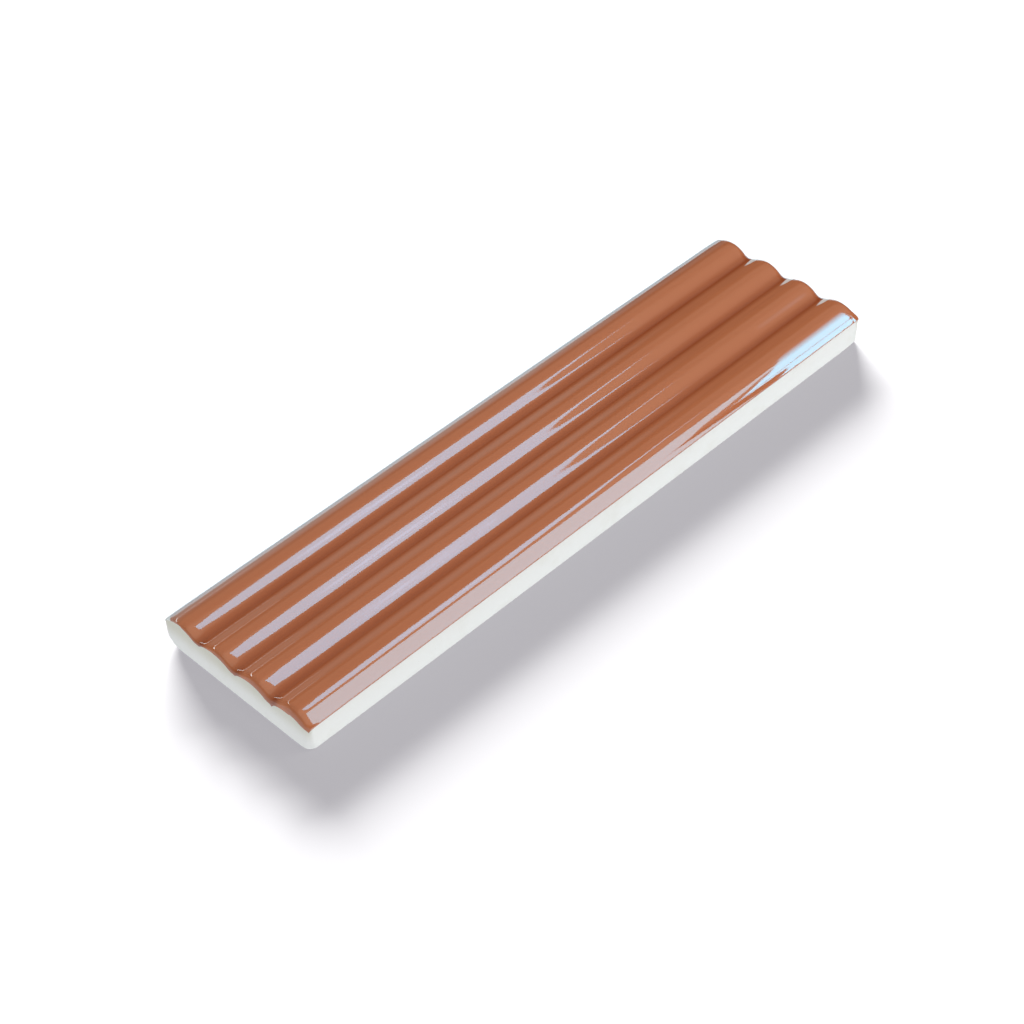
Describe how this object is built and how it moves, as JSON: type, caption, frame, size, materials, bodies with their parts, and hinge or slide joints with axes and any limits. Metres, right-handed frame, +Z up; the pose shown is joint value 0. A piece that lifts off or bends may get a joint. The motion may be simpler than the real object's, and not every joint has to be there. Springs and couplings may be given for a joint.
{
  "type": "subway tile",
  "caption": "Slim reeded subway tile: parallel half-round reeds under a gloss terracotta glaze, on a pale unglazed body with straight sides and a flat back.",
  "frame": {"origin": "centre of the underside, on the surface that the tile lies on", "axes": "+X along the length and the reeds, +Y across the reeds, +Z up out of the glazed face"},
  "size_m": [0.2, 0.05, 0.011],
  "materials": {
    "glaze": "gloss translucent terracotta glaze, darker where it pools in the valleys",
    "bisque": "matt pale grey-white pressed and fired body, unglazed"
  },
  "bodies": {
    "root": {"tile": "glaze"}
  },
  "joints": []
}
